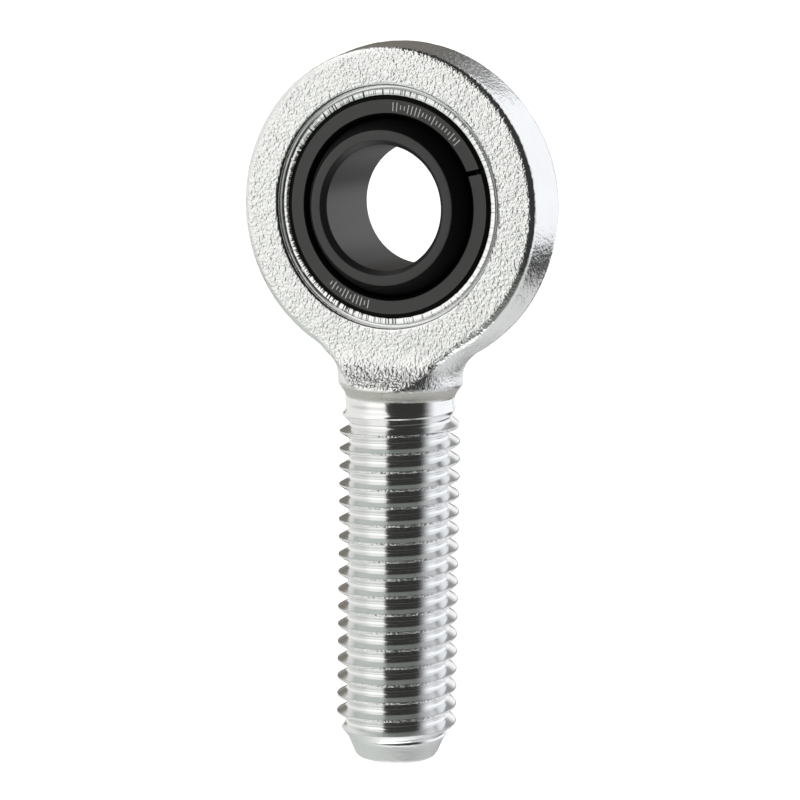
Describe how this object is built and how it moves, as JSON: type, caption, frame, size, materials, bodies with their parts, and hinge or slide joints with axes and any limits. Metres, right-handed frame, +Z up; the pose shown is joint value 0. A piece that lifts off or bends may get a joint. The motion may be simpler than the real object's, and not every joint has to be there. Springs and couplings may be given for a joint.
{
  "type": "rod end bearing",
  "caption": "Male rod end: forged eye with a threaded shank, holding a staked-in spherical plain bearing whose ball spins and tilts.",
  "frame": {"origin": "centre of the shank's flat end face, which is also the bottom centre of the bounding box", "axes": "+Z up the shank to the eye; the ball's bore runs along Y; X is across the eye"},
  "size_m": [0.0322, 0.0118, 0.0706],
  "materials": {
    "rod_end_housing": "bright zinc plate on a forged surface",
    "outer_ring": "black manganese phosphate on ground bearing steel",
    "inner_ring": "black manganese phosphate on ground bearing steel",
    "race_lubricant": "dark grease with solid lubricant",
    "ball_lubricant": "dark grease with solid lubricant"
  },
  "bodies": {
    "housing": {"rod_end_housing": "rod_end_housing", "outer_ring": "outer_ring"},
    "race_film": {"race_lubricant": "race_lubricant"},
    "ball_film": {"ball_lubricant": "ball_lubricant"},
    "ball": {"inner_ring": "inner_ring"}
  },
  "joints": [
    {"name": "ball_tilt_x", "type": "hinge", "parent": "housing", "child": "race_film", "pos_m": [0, 0, 0.0545], "axis": [1, 0, 0], "range_deg": [-10, 10]},
    {"name": "ball_tilt_z", "type": "hinge", "parent": "race_film", "child": "ball_film", "pos_m": [0, 0, 0.0545], "axis": [0, 0, 1], "range_deg": [-10, 10]},
    {"name": "ball_spin", "type": "hinge", "parent": "ball_film", "child": "ball", "pos_m": [0, 0, 0.0545], "axis": [0, 1, 0], "continuous": true}
  ]
}
